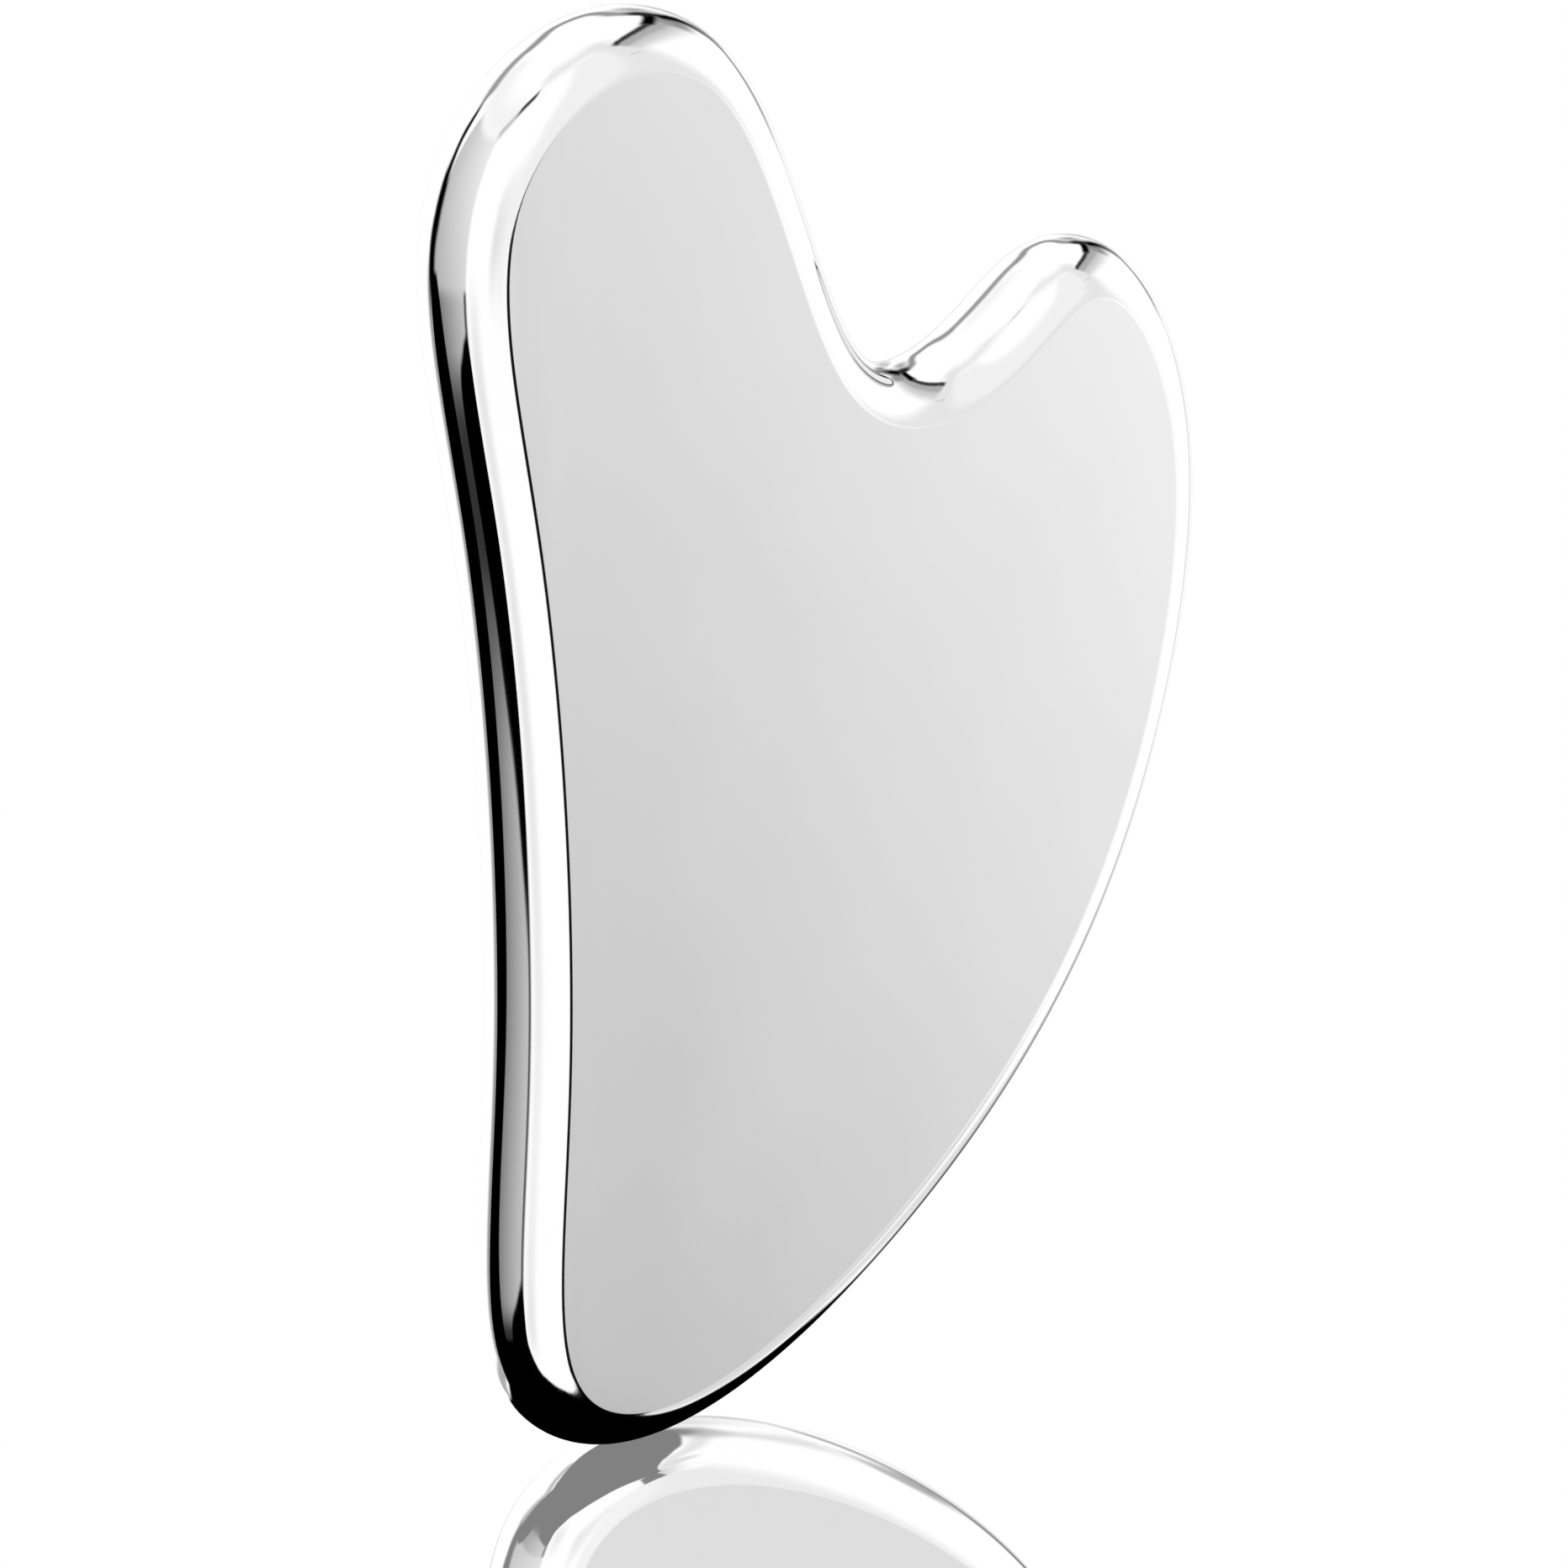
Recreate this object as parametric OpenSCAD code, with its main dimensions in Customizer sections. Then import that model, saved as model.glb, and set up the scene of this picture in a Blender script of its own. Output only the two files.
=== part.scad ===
// Gua sha scraper: a flat, polished steel plate with two unequal lobes, a notch between
// them and a rounded tip. It stands on its tip: X is its width, Y its thickness and Z its
// height, with the origin on the floor below the middle of its width and thickness.

/* [Plate] */
// Height of the tool, from its tip to the top of the long lobe
tool_height = 85; // [70:1:100]
// Thickness of the steel between the two flat faces
plate_thickness = 6.5; // [4:0.5:8]
// Width of the rounded edge, from the outside of the tool in to the flat face
edge_reach = 2.9; // [2:0.1:3.5]

/* [Smoothness] */
// Straight steps along each span of the outline
span_steps = 14; // [8:1:16]
// Straight steps round half of the edge, from a flat face to the middle of the thickness
edge_steps = 7; // [4:1:9]

/* [Hidden] */

steel_colour = [0.81, 0.81, 0.81];

// Control points of the edge of the flat face, counter-clockwise in X and Z, on a tool
// that is 85 mm tall. A closed cubic B-spline runs past them.
FACE_CONTROLS = [
    [-20.5, 58.0],      // long straight side, below the long lobe
    [-19.0, 24.0],      // long straight side, above the tip
    [-22.5, 3.5],       // tip, straight side
    [-9.5, 1.5],        // tip, curved side
    [9.5, 14.0],        // lower part of the curved side
    [20.5, 30.0],       // middle of the curved side
    [25.0, 53.0],       // upper part of the curved side
    [17.5, 66.5],       // top of the short lobe
    [11.5, 58.0],       // notch, short lobe's side
    [-2.5, 56.5],       // notch, long lobe's side
    [-7.5, 86.5],       // top of the long lobe, notch side
    [-26.5, 79.0]       // top of the long lobe, straight side
];
// The point below the notch from which the whole edge of the flat face can be seen
FACE_MIDDLE = [-3.0, 45.0];

spans = len(FACE_CONTROLS);
stations = spans * span_steps;
half_thickness = plate_thickness / 2;

// Control point i, counted on round the closed outline
function control(i) = FACE_CONTROLS[i % spans];

// Point of the spline at t, from 0 to 1, along span i
function spline_point(i, t) =
    (pow(1 - t, 3) * control(i)
    + (3 * pow(t, 3) - 6 * pow(t, 2) + 4) * control(i + 1)
    + (3 * t + 3 * pow(t, 2) - 3 * pow(t, 3) + 1) * control(i + 2)
    + pow(t, 3) * control(i + 3)) / 6;

// Direction of the spline there
function spline_slope(i, t) =
    (-pow(1 - t, 2) * control(i)
    + (3 * pow(t, 2) - 4 * t) * control(i + 1)
    + (1 + 2 * t - 3 * pow(t, 2)) * control(i + 2)
    + pow(t, 2) * control(i + 3)) / 2;

// Normal of the outline there, pointing out of the plate
function outward(slope) = [slope[1], -slope[0]] / norm(slope);

design_points = [
    for (i = [0 : spans - 1], step = [0 : span_steps - 1]) spline_point(i, step / span_steps)
];
normals = [
    for (i = [0 : spans - 1], step = [0 : span_steps - 1]) outward(spline_slope(i, step / span_steps))
];

// The face is scaled so that the whole tool is tool_height tall, and moved so that the
// tool is centred on X and its tip is at Z = 0
design_x = [for (point = design_points) point[0]];
design_z = [for (point = design_points) point[1]];
face_scale = (tool_height - 2 * edge_reach) / (max(design_z) - min(design_z));
face_corner = [(max(design_x) + min(design_x)) / 2, min(design_z)];
function placed(point) = face_scale * (point - face_corner) + [0, edge_reach];

face_points = [for (point = design_points) placed(point)];
face_middle = placed(FACE_MIDDLE);

// Ring k of the front half of the edge. The edge is half an ellipse that leaves the flat
// face without a step at ring 0, and reaches the middle of the thickness at ring edge_steps.
function edge_ring(k) =
    let (angle = 90 * k / edge_steps, reach = edge_reach * sin(angle))
    [
        for (i = [0 : stations - 1])
            let (point = face_points[i] + reach * normals[i])
            [point[0], -half_thickness * cos(angle), point[1]]
    ];

half_points = concat(
    [for (k = [0 : edge_steps]) each edge_ring(k)],
    [[face_middle[0], -half_thickness, face_middle[1]], [face_middle[0], 0, face_middle[1]]]
);
last_ring = edge_steps * stations;
front_middle = last_ring + stations;
cut_middle = front_middle + 1;

flat_faces = [
    for (i = [0 : stations - 1])
        let (j = (i + 1) % stations)
        each [[front_middle, j, i], [cut_middle, last_ring + i, last_ring + j]]
];
edge_faces = [
    for (k = [0 : edge_steps - 1], i = [0 : stations - 1])
        let (here = k * stations, next = here + stations, j = (i + 1) % stations)
        each [[here + i, here + j, next + j], [here + i, next + j, next + i]]
];

// Front half of the plate, from its flat face to the middle of the thickness
module half_plate() {
    polyhedron(points = half_points, faces = concat(flat_faces, edge_faces));
}

// The whole tool is one solid piece of steel, the same on both sides
module scraper_plate() {
    color(steel_colour) {
        half_plate();
        mirror([0, 1, 0]) half_plate();
    }
}

scraper_plate();
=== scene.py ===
import math

import bpy
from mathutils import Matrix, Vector


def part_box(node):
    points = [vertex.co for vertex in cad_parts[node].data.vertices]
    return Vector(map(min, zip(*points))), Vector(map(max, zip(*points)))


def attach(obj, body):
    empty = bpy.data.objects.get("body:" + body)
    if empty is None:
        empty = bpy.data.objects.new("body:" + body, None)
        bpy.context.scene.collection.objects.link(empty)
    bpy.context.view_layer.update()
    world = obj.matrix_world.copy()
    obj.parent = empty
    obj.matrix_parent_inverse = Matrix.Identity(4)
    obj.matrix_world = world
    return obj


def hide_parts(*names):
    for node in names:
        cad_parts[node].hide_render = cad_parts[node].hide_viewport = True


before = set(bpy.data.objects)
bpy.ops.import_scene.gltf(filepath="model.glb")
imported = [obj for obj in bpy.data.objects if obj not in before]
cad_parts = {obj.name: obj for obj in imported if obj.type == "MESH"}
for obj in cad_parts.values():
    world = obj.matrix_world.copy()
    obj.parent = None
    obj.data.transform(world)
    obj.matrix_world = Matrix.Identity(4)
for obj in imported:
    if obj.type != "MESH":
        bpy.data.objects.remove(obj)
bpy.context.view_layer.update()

# ---------------------------------------------------------------- sizes
# Lengths are in metres in the row frame: X is the plate's width, Y its thickness and Z its
# height, and the front face looks along -Y.
MM = 0.001

PLATE_LOW, PLATE_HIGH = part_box("scraper_plate")
PLATE_HEIGHT = PLATE_HIGH.z - PLATE_LOW.z
HALF_THICKNESS = (PLATE_HIGH.y - PLATE_LOW.y) / 2
EDGE_REACH = 2.9 * MM   # width of the rounded edge, as in the CAD

# Control points of the edge of the flat face, in millimetres and counter-clockwise in X
# and Z, as in the CAD. A closed cubic B-spline runs past them.
FACE_CONTROLS = [
    (-20.5, 58.0),      # long straight side, below the long lobe
    (-19.0, 24.0),      # long straight side, above the tip
    (-22.5, 3.5),       # tip, straight side
    (-9.5, 1.5),        # tip, curved side
    (9.5, 14.0),        # lower part of the curved side
    (20.5, 30.0),       # middle of the curved side
    (25.0, 53.0),       # upper part of the curved side
    (17.5, 66.5),       # top of the short lobe
    (11.5, 58.0),       # notch, short lobe's side
    (-2.5, 56.5),       # notch, long lobe's side
    (-7.5, 86.5),       # top of the long lobe, notch side
    (-26.5, 79.0),      # top of the long lobe, straight side
]
# The point below the notch from which the whole edge of the flat face can be seen
FACE_MIDDLE = (-3.0, 45.0)

SPAN_STEPS = 32         # mesh steps along each span of the outline
EDGE_STEPS = 32         # mesh steps round the edge, from one flat face to the other
# Rings of mesh on the flat face, as shares of its edge, from the outside in
FACE_RINGS = [0.985, 0.95, 0.88, 0.76, 0.6, 0.42, 0.22]

FLOOR_HALF = 1.5        # from the middle of the floor to its sides

# ---------------------------------------------------------------- camera
CAMERA_AZIMUTH = math.radians(-37.43)   # from the front, positive towards +X
CAMERA_ELEVATION = math.radians(22.65)
CAMERA_DISTANCE = 0.42
CAMERA_TARGET = Vector((-2.558 * MM, 0, 37.471 * MM))
LENS = 171.2            # focal length in millimetres
SENSOR_WIDTH = 36       # millimetres
NEAR_LIMIT = 0.01       # the camera sees nothing closer than this

# ---------------------------------------------------------------- studio
# Directions are in degrees: azimuth from the front (-Y), positive towards +X, and
# elevation from the level. Greys are as the polished steel shows them, from 0 to 255.
WHITE = 255
BLACK = 0
FLOOR_MIRRORS = 0.78    # share of the floor's look that is its reflection
TABLE_SOFTNESS = 0.9    # half of the degrees over which the black table's edge fades
SHARP = 0.01            # softness of an edge where two cards meet

# ---------------------------------------------------------------- steel finish
STEEL_REFLECTS = 0.81   # share of the light that the steel gives back
TONE_VARIATION = 0.008  # how far that share wanders over the plate
CLOUD_SCALE = 90        # patches of tone and polish about 11 mm across
CLOUD_ROUGHNESS = (0.02, 0.04)      # least and most roughness over the patches
HAIRLINE_SCALE = 900    # hairlines about 1 mm apart
HAIRLINE_STRETCH = (1, 1, 0.04)     # and 25 times as long, up the plate
HAIRLINE_ROUGHNESS = (0, 0.02)      # what the hairlines add to it
HAIRLINE_DEPTH = 0.0004 * MM
WAVE_SCALE = 70         # slow waves left by the polishing wheel
WAVE_DEPTH = 0.04 * MM
NOISE_RANGE = (0.3, 0.7)  # the part of the noise's range that is spread over each effect


def linear(grey):
    """The light that shows as this grey, from 0 to 255."""
    value = grey / 255
    return value / 12.92 if value <= 0.04045 else ((value + 0.055) / 1.055) ** 2.4


# ---------------------------------------------------------------- plate
def spline_point(span, t):
    """Point and direction of the closed cubic B-spline at t, from 0 to 1, along a span."""
    controls = [Vector(FACE_CONTROLS[(span + k) % len(FACE_CONTROLS)]) for k in range(4)]
    weights = (
        (1 - t) ** 3 / 6,
        (3 * t**3 - 6 * t**2 + 4) / 6,
        (3 * t + 3 * t**2 - 3 * t**3 + 1) / 6,
        t**3 / 6,
    )
    slopes = (
        -((1 - t) ** 2) / 2,
        (3 * t**2 - 4 * t) / 2,
        (1 + 2 * t - 3 * t**2) / 2,
        t**2 / 2,
    )
    point = sum((w * c for w, c in zip(weights, controls)), Vector((0, 0)))
    slope = sum((s * c for s, c in zip(slopes, controls)), Vector((0, 0)))
    return point, slope


def face_outline():
    """Points, outward normals and middle of the flat face's edge, in metres, in X and Z."""
    samples = [
        spline_point(span, step / SPAN_STEPS)
        for span in range(len(FACE_CONTROLS))
        for step in range(SPAN_STEPS)
    ]
    xs = [point.x for point, _ in samples]
    zs = [point.y for point, _ in samples]
    scale = (PLATE_HEIGHT - 2 * EDGE_REACH) / (max(zs) - min(zs))
    corner = Vector(((max(xs) + min(xs)) / 2, min(zs)))
    base = Vector(((PLATE_LOW.x + PLATE_HIGH.x) / 2, PLATE_LOW.z + EDGE_REACH))
    points = [scale * (point - corner) + base for point, _ in samples]
    normals = [Vector((slope.y, -slope.x)).normalized() for _, slope in samples]
    middle = scale * (Vector(FACE_MIDDLE) - corner) + base
    return points, normals, middle


def plate_mesh():
    """The plate's mesh: two flat faces, and an edge that is half an ellipse swept round them."""
    points, outward, middle = face_outline()
    stations = len(points)
    middle_y = (PLATE_LOW.y + PLATE_HIGH.y) / 2
    vertices, normals, quads = [], [], []

    def add_ring(ring_points, ring_normals):
        vertices.extend(ring_points)
        normals.extend(ring_normals)

    def face_ring(share, y, side):
        ring_points = [
            (middle.x + share * (p.x - middle.x), y, middle.y + share * (p.y - middle.y))
            for p in points
        ]
        add_ring(ring_points, [(0, side, 0)] * stations)

    front, back = middle_y - HALF_THICKNESS, middle_y + HALF_THICKNESS
    for share in reversed(FACE_RINGS):
        face_ring(share, front, -1)
    for k in range(EDGE_STEPS + 1):
        angle = math.pi * k / EDGE_STEPS
        reach = EDGE_REACH * math.sin(angle)
        y = middle_y - HALF_THICKNESS * math.cos(angle)
        tilt = Vector((HALF_THICKNESS * math.sin(angle), -EDGE_REACH * math.cos(angle))).normalized()
        add_ring(
            [(p.x + reach * n.x, y, p.y + reach * n.y) for p, n in zip(points, outward)],
            [(tilt.x * n.x, tilt.y, tilt.x * n.y) for n in outward],
        )
    for share in FACE_RINGS:
        face_ring(share, back, 1)

    rings = len(vertices) // stations
    for ring in range(rings - 1):
        here, there = ring * stations, (ring + 1) * stations
        for i in range(stations):
            j = (i + 1) % stations
            quads.append((here + i, there + i, there + j, here + j))

    front_middle, back_middle = len(vertices), len(vertices) + 1
    vertices += [(middle.x, front, middle.y), (middle.x, back, middle.y)]
    normals += [(0, -1, 0), (0, 1, 0)]
    last = (rings - 1) * stations
    for i in range(stations):
        j = (i + 1) % stations
        quads.append((front_middle, i, j))
        quads.append((back_middle, last + j, last + i))

    mesh = bpy.data.meshes.new("polished_plate")
    mesh.from_pydata(vertices, [], quads)
    mesh.polygons.foreach_set("use_smooth", [True] * len(mesh.polygons))
    mesh.update()
    mesh.normals_split_custom_set_from_vertices(normals)
    return mesh


# ---------------------------------------------------------------- nodes
def add_node(tree, kind, *inputs, output=0, **settings):
    """Adds a node, sets or links its inputs in order, and returns one of its outputs."""
    node = tree.nodes.new(kind)
    for name, value in settings.items():
        setattr(node, name, value)
    for socket, value in zip(node.inputs, inputs):
        if isinstance(value, bpy.types.NodeSocket):
            tree.links.new(value, socket)
        elif value is not None:
            socket.default_value = value
    return node.outputs[output]


def calculate(tree, operation, *inputs):
    return add_node(tree, "ShaderNodeMath", *inputs, operation=operation)


def fade(tree, value, start, end):
    """1 up to start, falling smoothly to 0 at end."""
    return add_node(
        tree, "ShaderNodeMapRange", value, start, end, 1.0, 0.0, interpolation_type="SMOOTHSTEP"
    )


# ---------------------------------------------------------------- steel
def polished_steel():
    """Mirror-polished stainless steel: a little unevenness left by the polishing wheel, and
    hairlines so fine that they only soften the reflections."""
    material = bpy.data.materials.new("polished_steel")
    material.use_nodes = True
    tree = material.node_tree
    shader = tree.nodes["Principled BSDF"]
    shader.inputs["Metallic"].default_value = 1.0

    place = add_node(tree, "ShaderNodeTexCoord", output=3)  # position on the object

    def noise(scale, detail, stretch=(1, 1, 1)):
        stretched = add_node(tree, "ShaderNodeVectorMath", place, stretch, operation="MULTIPLY")
        return add_node(tree, "ShaderNodeTexNoise", stretched, None, scale, detail)

    def ramp(value, low, high):
        return add_node(tree, "ShaderNodeMapRange", value, *NOISE_RANGE, low, high)

    cloud = noise(CLOUD_SCALE, detail=3)
    tone = ramp(cloud, STEEL_REFLECTS - TONE_VARIATION, STEEL_REFLECTS + TONE_VARIATION)
    grey = add_node(tree, "ShaderNodeCombineColor", tone, tone, tone)
    tree.links.new(grey, shader.inputs["Base Color"])

    hairlines = noise(HAIRLINE_SCALE, detail=2, stretch=HAIRLINE_STRETCH)
    polish = calculate(
        tree, "ADD", ramp(cloud, *CLOUD_ROUGHNESS), ramp(hairlines, *HAIRLINE_ROUGHNESS)
    )
    tree.links.new(polish, shader.inputs["Roughness"])

    waves = noise(WAVE_SCALE, detail=1)
    wavy = add_node(tree, "ShaderNodeBump", 1.0, WAVE_DEPTH, None, waves)
    scratched = add_node(tree, "ShaderNodeBump", 1.0, HAIRLINE_DEPTH, None, hairlines, wavy)
    tree.links.new(scratched, shader.inputs["Normal"])
    return material


def floor_gloss():
    """Glossy white: mostly a mirror, and white wherever it mirrors no object."""
    material = bpy.data.materials.new("floor_gloss")
    material.use_nodes = True
    tree = material.node_tree
    tree.nodes.remove(tree.nodes["Principled BSDF"])
    glow = add_node(tree, "ShaderNodeEmission", (1, 1, 1, 1), 1.0)
    mirror = add_node(tree, "ShaderNodeBsdfGlossy", (1, 1, 1, 1), 0.0)
    mixed = add_node(tree, "ShaderNodeMixShader", FLOOR_MIRRORS, glow, mirror)
    tree.links.new(mixed, tree.nodes["Material Output"].inputs["Surface"])
    return material


# ---------------------------------------------------------------- what the steel mirrors
class Studio:
    """The studio round the object as world nodes: soft light everywhere, with grey and black
    cards painted over it one after another."""

    def __init__(self):
        world = bpy.data.worlds.new("studio")
        world.use_nodes = True
        bpy.context.scene.world = world
        self.tree = world.node_tree
        direction = add_node(self.tree, "ShaderNodeTexCoord")
        x, y, z = add_node(self.tree, "ShaderNodeSeparateXYZ", direction).node.outputs
        turn = calculate(self.tree, "ARCTAN2", x, calculate(self.tree, "MULTIPLY", y, -1.0))
        self.azimuth = calculate(self.tree, "DEGREES", turn)
        self.elevation = calculate(self.tree, "DEGREES", calculate(self.tree, "ARCSINE", z))
        self.light = linear(WHITE)

    def away(self, azimuth):
        """Degrees of azimuth from the given one, from -180 to 180."""
        return calculate(
            self.tree, "WRAP", calculate(self.tree, "SUBTRACT", self.azimuth, azimuth), 180.0, -180.0
        )

    def paint(self, grey, *masks):
        """Covers the light with a grey where the product of the masks is 1."""
        mask = masks[0]
        for other in masks[1:]:
            mask = calculate(self.tree, "MULTIPLY", mask, other)
        light = linear(grey) if isinstance(grey, (int, float)) else grey
        mixed = add_node(self.tree, "ShaderNodeMix", mask, None, self.light, light, data_type="FLOAT")
        self.light = mixed

    def slope(self, azimuth, elevation, light, per_azimuth, per_elevation):
        """Light, as a share of white, that changes evenly with direction. It is given at one
        azimuth and elevation, with its change per degree of each."""
        start = light - per_azimuth * azimuth - per_elevation * elevation
        sideways = calculate(self.tree, "MULTIPLY_ADD", self.azimuth, per_azimuth, start)
        light = calculate(self.tree, "MULTIPLY_ADD", self.elevation, per_elevation, sideways)
        light.node.use_clamp = True
        return light

    def within(self, distance, half, soft):
        """1 up to half the width from the middle, fading over the soft edge."""
        return fade(self.tree, calculate(self.tree, "ABSOLUTE", distance), half - soft, half + soft)

    def card(self, azimuth, elevation, half_width, half_height, soft, grey):
        """A card with straight sides and soft edges."""
        upwards = calculate(self.tree, "SUBTRACT", self.elevation, elevation)
        self.paint(
            grey,
            self.within(self.away(azimuth), half_width, soft),
            self.within(upwards, half_height, soft),
        )

    def oval(self, azimuth, elevation, half_width, half_height, soft, grey):
        """An oval card. Its soft edge is a share of its size."""
        across = calculate(self.tree, "DIVIDE", self.away(azimuth), half_width)
        upwards = calculate(self.tree, "SUBTRACT", self.elevation, elevation)
        along = calculate(self.tree, "DIVIDE", upwards, half_height)
        spot = add_node(self.tree, "ShaderNodeCombineXYZ", across, along, 0.0)
        radius = add_node(self.tree, "ShaderNodeVectorMath", spot, operation="LENGTH", output=1)
        self.paint(grey, self.within(radius, 1, soft))

    def curve(self, value, points):
        """The angle read off a smooth curve through the points. The curve's node works from 0
        to 1 both ways, so the angles are scaled to that and back."""
        low, high = points[0][0], points[-1][0]
        across = add_node(self.tree, "ShaderNodeMapRange", value, low, high, 0.0, 1.0)
        node = self.tree.nodes.new("ShaderNodeFloatCurve")
        self.tree.links.new(across, node.inputs["Value"])
        line = node.mapping.curves[0]
        spots = [((at - low) / (high - low), (angle + 180) / 360) for at, angle in points]
        line.points[0].location, line.points[1].location = spots[0], spots[-1]
        for spot in spots[1:-1]:
            line.points.new(*spot)
        for point in line.points:
            point.handle_type = "AUTO_CLAMPED"
        node.mapping.update()
        return calculate(self.tree, "MULTIPLY_ADD", node.outputs[0], 360.0, -180.0)

    def arc(self, points, half_width, soft, grey, ends):
        """A strip that runs sideways through points of azimuth and elevation."""
        off = calculate(self.tree, "SUBTRACT", self.elevation, self.curve(self.azimuth, points))
        first, last = points[0][0], points[-1][0]
        along = self.away((first + last) / 2)
        self.paint(
            grey, self.within(off, half_width, soft), self.within(along, (last - first) / 2, ends)
        )

    def column(self, points, half_width, soft, grey, ends):
        """A strip that runs upwards through points of elevation and azimuth."""
        off = calculate(self.tree, "SUBTRACT", self.azimuth, self.curve(self.elevation, points))
        first, last = points[0][0], points[-1][0]
        along = calculate(self.tree, "SUBTRACT", self.elevation, (first + last) / 2)
        self.paint(
            grey, self.within(off, half_width, soft), self.within(along, (last - first) / 2, ends)
        )

    def below(self, points, soft, grey):
        """Everything under a line through points of azimuth and elevation."""
        height = calculate(self.tree, "SUBTRACT", self.elevation, self.curve(self.azimuth, points))
        first, last = points[0][0], points[-1][0]
        along = self.away((first + last) / 2)
        self.paint(
            grey,
            fade(self.tree, height, -soft, soft),
            self.within(along, (last - first) / 2, SHARP),
        )

    def finish(self):
        """The camera and the glossy floor see plain white in place of the cards."""
        ray = self.tree.nodes.new("ShaderNodeLightPath")
        plain = calculate(
            self.tree, "MAXIMUM", ray.outputs["Is Camera Ray"], ray.outputs["Is Singular Ray"]
        )
        mirrored = calculate(self.tree, "DIVIDE", self.light, STEEL_REFLECTS)
        shown = add_node(self.tree, "ShaderNodeMix", plain, None, mirrored, 1.0, data_type="FLOAT")
        background = self.tree.nodes["Background"]
        self.tree.links.new(shown, background.inputs["Strength"])
        background.inputs["Color"].default_value = (1, 1, 1, 1)


def build_studio():
    """Paints the cards, each over those before it. A card or an oval is given by its azimuth,
    elevation, half width, half height, softness and grey; an arc or a column by its points,
    half width, softness, grey and the softness of its ends."""
    studio = Studio()

    # soft shades in the light overhead and in front
    studio.card(10, 67, 45, 6, 9, 230)
    studio.card(36, 20, 9, 50, 6, 229)
    studio.card(18, 20, 12, 38, 5, 240)
    studio.card(-110, 51, 60, 8, 8, 244)
    # soft shade that the flat front face mirrors in the floor
    studio.card(37.5, 28.1, 2.6, 1.5, 0.5, 211)
    # soft shades that the flat faces mirror when they are seen from other sides
    studio.card(-3, -5, 13, 11, 7, studio.slope(0, -3, 0.865, 0.005, 0.009))
    studio.card(-48, -25, 9, 10, 7, studio.slope(-45, -25, 0.85, 0.004, 0.010))
    studio.card(138, -14, 16, 13, 7, studio.slope(135, -15, 0.72, -0.010, 0.014))

    # hood on the right: the shade under it, its edge, and its far end coming down
    studio.arc([(42, 42), (60, 44), (80, 42), (100, 35), (118, 24)], 9, 7, 205, 3)
    studio.arc([(42, 48), (60, 50), (80, 47), (100, 39), (118, 28)], 5, 3, 172, 3)
    studio.oval(112, 28, 9, 9, 0.5, 148)
    studio.column([(-40, 112), (-37, 110), (-33, 108)], 6, 6, 185, 2)
    studio.column([(-33, 104), (-26, 103), (-10, 111)], 6, 6, 218, 3)
    studio.column(
        [(-8, 110), (-6, 109), (-2, 111), (2, 116), (7, 122), (16, 122), (30, 121)],
        5.5,
        4,
        studio.slope(120, 7, 0.15, 0, -0.018),
        3,
    )
    hood = [(41, 53), (50, 55.5), (60, 55.5), (70, 54.5), (80, 52.5), (90, 49.5), (100, 45)]
    studio.arc(hood, 2.6, 1.8, 55, 3)
    studio.arc([(98, 46), (105, 43), (110, 40.5), (117, 36), (127, 29)], 4, 2, BLACK, 4)

    # faint line round the back
    studio.card(-169, 38, 15, 5, 3.5, 155)
    back_line = [
        (124, 35), (131, 37.5), (136, 37.8), (141, 35), (146, 29.5), (151, 25.5), (157, 25.5),
        (162, 29), (166, 34), (172, 38), (178, 39),
    ]
    studio.arc(back_line, 5, 3.5, 150, 2)
    studio.oval(126, 32, 6, 7, 0.5, 40)
    studio.column([(-6, 137), (2, 136), (8, 135)], 5, 4, 195, 3)
    studio.oval(135, 24, 6, 7, 0.9, 170)
    studio.oval(125.5, 2, 5, 4, 0.5, 150)

    # dark flag at the upper left, and its grey tail
    studio.arc([(-68, 42), (-55, 47), (-40, 53), (-30, 56)], 3.0, 2.5, 195, 3)
    studio.arc([(-48, 51), (-38, 54), (-30, 56)], 2.6, 2.0, 55, 3)

    # grey wall on the left, darker at its foot, and the black gap behind it
    studio.card(-99, 9, 34, 33, 3, studio.slope(-99, 5, 0.61, 0.004, 0.003))
    studio.card(-92, -28, 28.5, 10.5, 2.2, studio.slope(-92, -23, 0.385, 0.0068, 0.004))
    studio.card(-105, -38, 17, 7.5, 3.5, 50)
    studio.column([(-26, -67.5), (-17, -67.5)], 2.2, 1.8, 80, 1.0)
    studio.card(-145, -30, 5, 15, 5, 150)
    gap = [
        (-20, -138), (-5, -138), (0, -136.3), (5, -136.3), (10, -137.5), (15, -138.7),
        (20, -140.8), (25, -144.5), (31, -148), (36, -153),
    ]
    studio.column(gap, 4.8, 3, BLACK, 3)
    wide_gap = [(-19, -138.5), (-10, -138.3), (0, -135.6), (6, -135.8), (14, -137.5)]
    studio.column(wide_gap, 7.6, 4, BLACK, 4)
    studio.card(-162, -43, 22, 3.5, 2.0, 172)

    # shading of the table that the flat front face mirrors, and the dark streak beside it
    studio.card(40.5, -22.5, 5.6, 8.0, 1.6, studio.slope(38, -22.5, 0.702, 0.0383, 0.0201))
    studio.card(30.7, -23.5, 4.0, 6.5, 0.4, 20)

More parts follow.
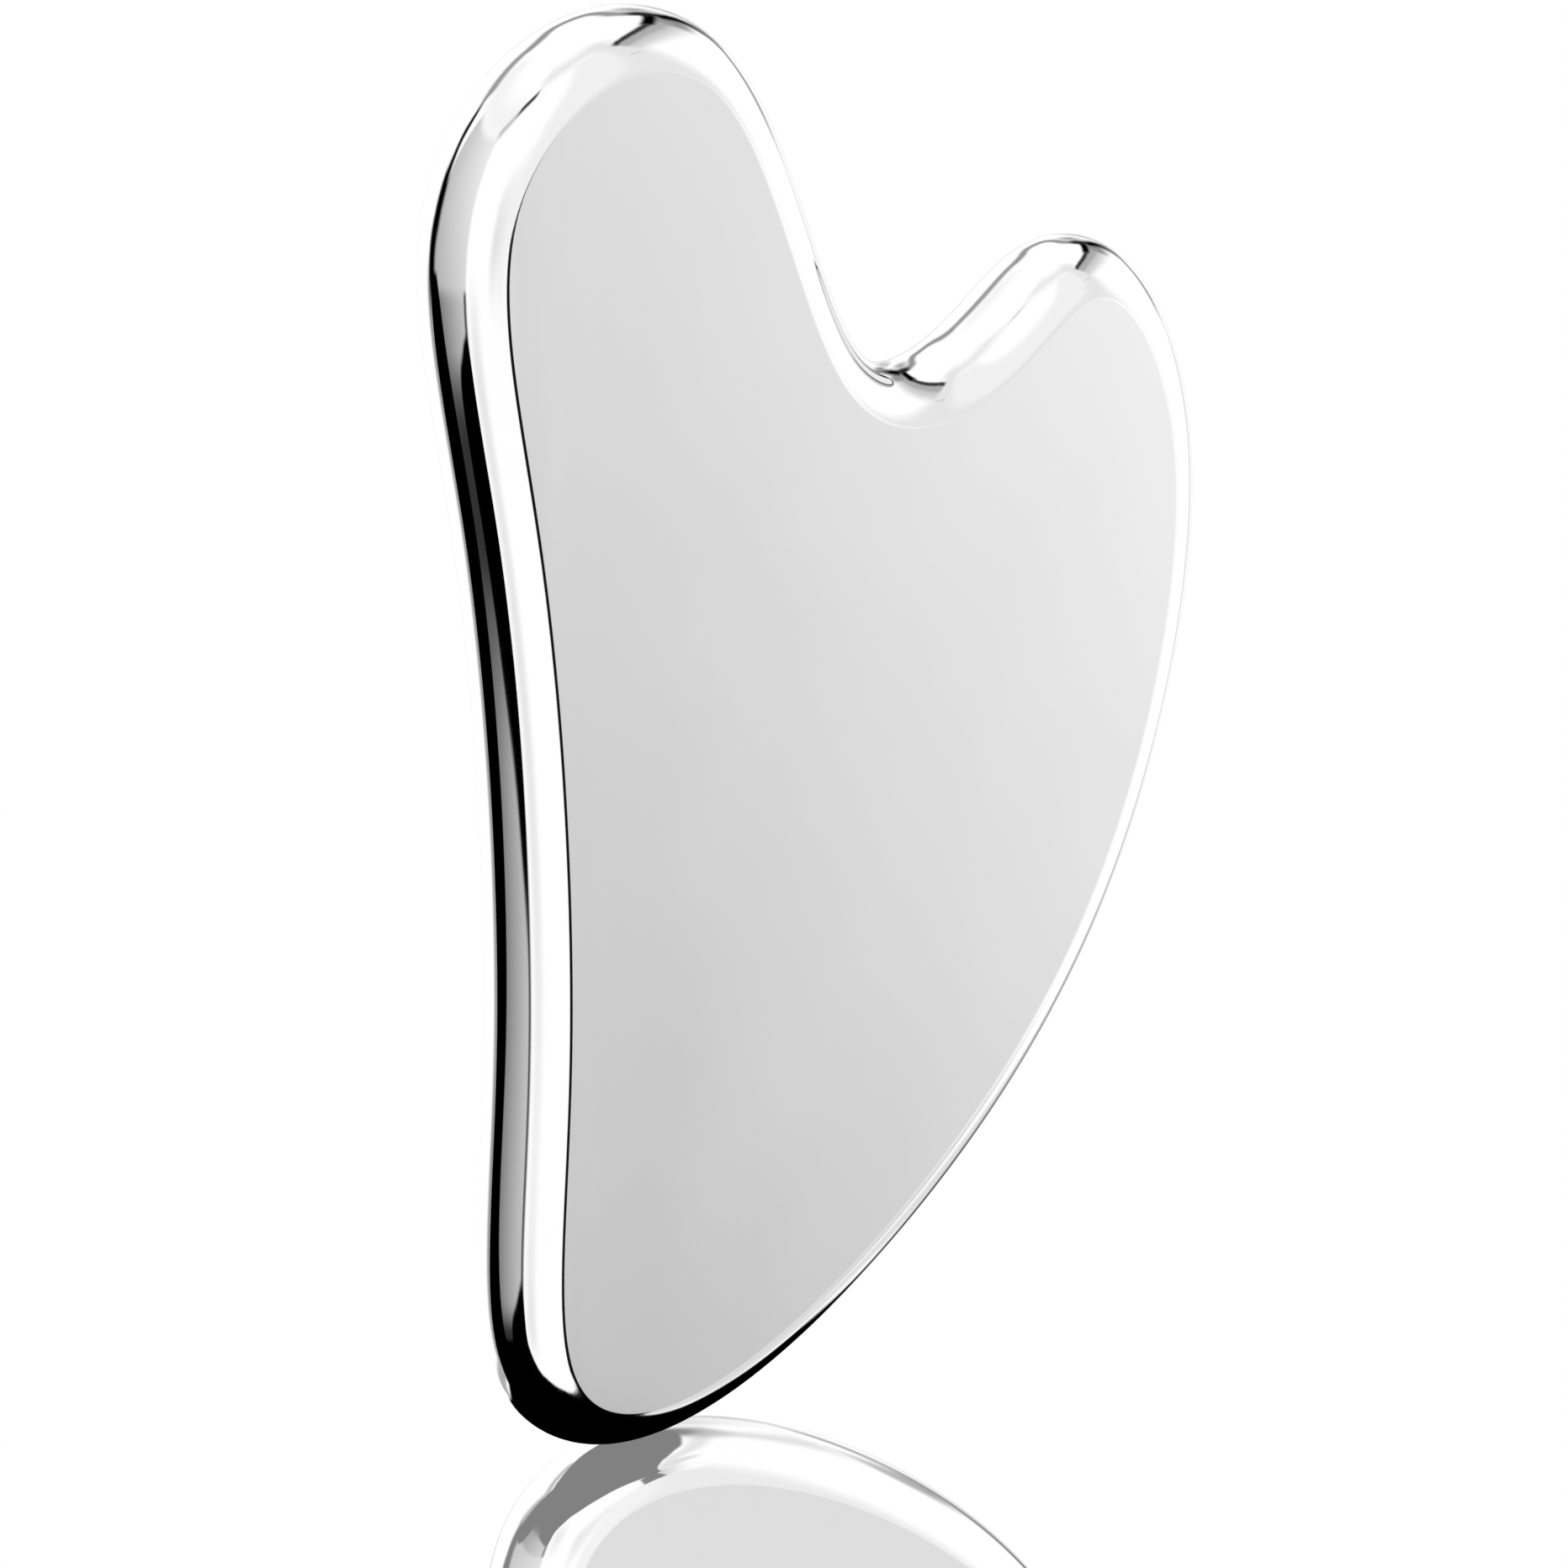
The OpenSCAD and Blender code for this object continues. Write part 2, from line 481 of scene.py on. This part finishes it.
    # light just above the table's edge, and the black table
    above_table = [(38, -32), (45, -36.5), (60, -41), (80, -41), (100, -38.5), (120, -33)]
    studio.arc(above_table, 3, 2, 222, 3)
    studio.oval(48.5, -33.2, 9, 3.2, 0.5, 214)
    studio.oval(114, -37, 18, 8, 0.5, 172)
    studio.oval(120, -40, 13, 6, 0.5, 70)
    table_left = [
        (-180, -45.5), (-170, -47.5), (-160, -48.5), (-150, -48.5), (-145, -44), (-140, -17),
        (-128, -14), (-121, -18), (-117, -23), (-114, -29), (-111, -35), (-104, -35.5),
        (-96, -35.5), (-93, -32), (-89, -29.8), (-80, -27.5), (-72, -25.2), (-68, -24.8),
        (-64, -28), (-62, -34), (-58, -37.5), (-50, -41.5),
    ]
    table_middle = [
        (-50, -41.5), (-43, -44), (-30, -45.3), (-20, -45.5), (-10, -44.8), (0, -43), (10, -40.5),
        (20, -36), (28, -31), (33, -28), (36, -28), (38, -34), (41, -38), (45, -41), (50, -43.5),
    ]
    table_right = [
        (50, -43.5), (60, -45.5), (70, -46.5), (80, -46), (90, -45.8), (100, -44.5), (110, -42),
        (120, -38.5), (130, -35), (137, -30.5), (140, -28), (144, -28), (148, -31), (160, -37),
        (170, -41), (180, -45.5),
    ]
    for line in (table_left, table_middle, table_right):
        studio.below(line, TABLE_SOFTNESS, BLACK)
    studio.finish()


# ---------------------------------------------------------------- build
def add_object(name, data):
    made = bpy.data.objects.new(name, data)
    bpy.context.scene.collection.objects.link(made)
    return made


plate = add_object("polished_plate", plate_mesh())
plate.data.materials.append(polished_steel())
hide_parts("scraper_plate")
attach(plate, "root")

floor_mesh = bpy.data.meshes.new("floor")
floor_mesh.from_pydata(
    [(x * FLOOR_HALF, y * FLOOR_HALF, PLATE_LOW.z) for x, y in ((-1, -1), (1, -1), (1, 1), (-1, 1))],
    [],
    [(0, 1, 2, 3)],
)
floor = add_object("floor", floor_mesh)
floor.data.materials.append(floor_gloss())
floor.visible_glossy = False

build_studio()

camera = add_object("camera", bpy.data.cameras.new("camera"))
back = Vector((
    math.sin(CAMERA_AZIMUTH) * math.cos(CAMERA_ELEVATION),
    -math.cos(CAMERA_AZIMUTH) * math.cos(CAMERA_ELEVATION),
    math.sin(CAMERA_ELEVATION),
))
camera.location = CAMERA_TARGET + CAMERA_DISTANCE * back
camera.rotation_euler = back.to_track_quat("Z", "Y").to_euler()
camera.data.lens = LENS
camera.data.sensor_width = SENSOR_WIDTH
camera.data.clip_start = NEAR_LIMIT
bpy.context.scene.camera = camera

# Whites stay white: the picture shows light as it is, with no film curve
bpy.context.scene.view_settings.view_transform = "Standard"

bpy.context.view_layer.update()
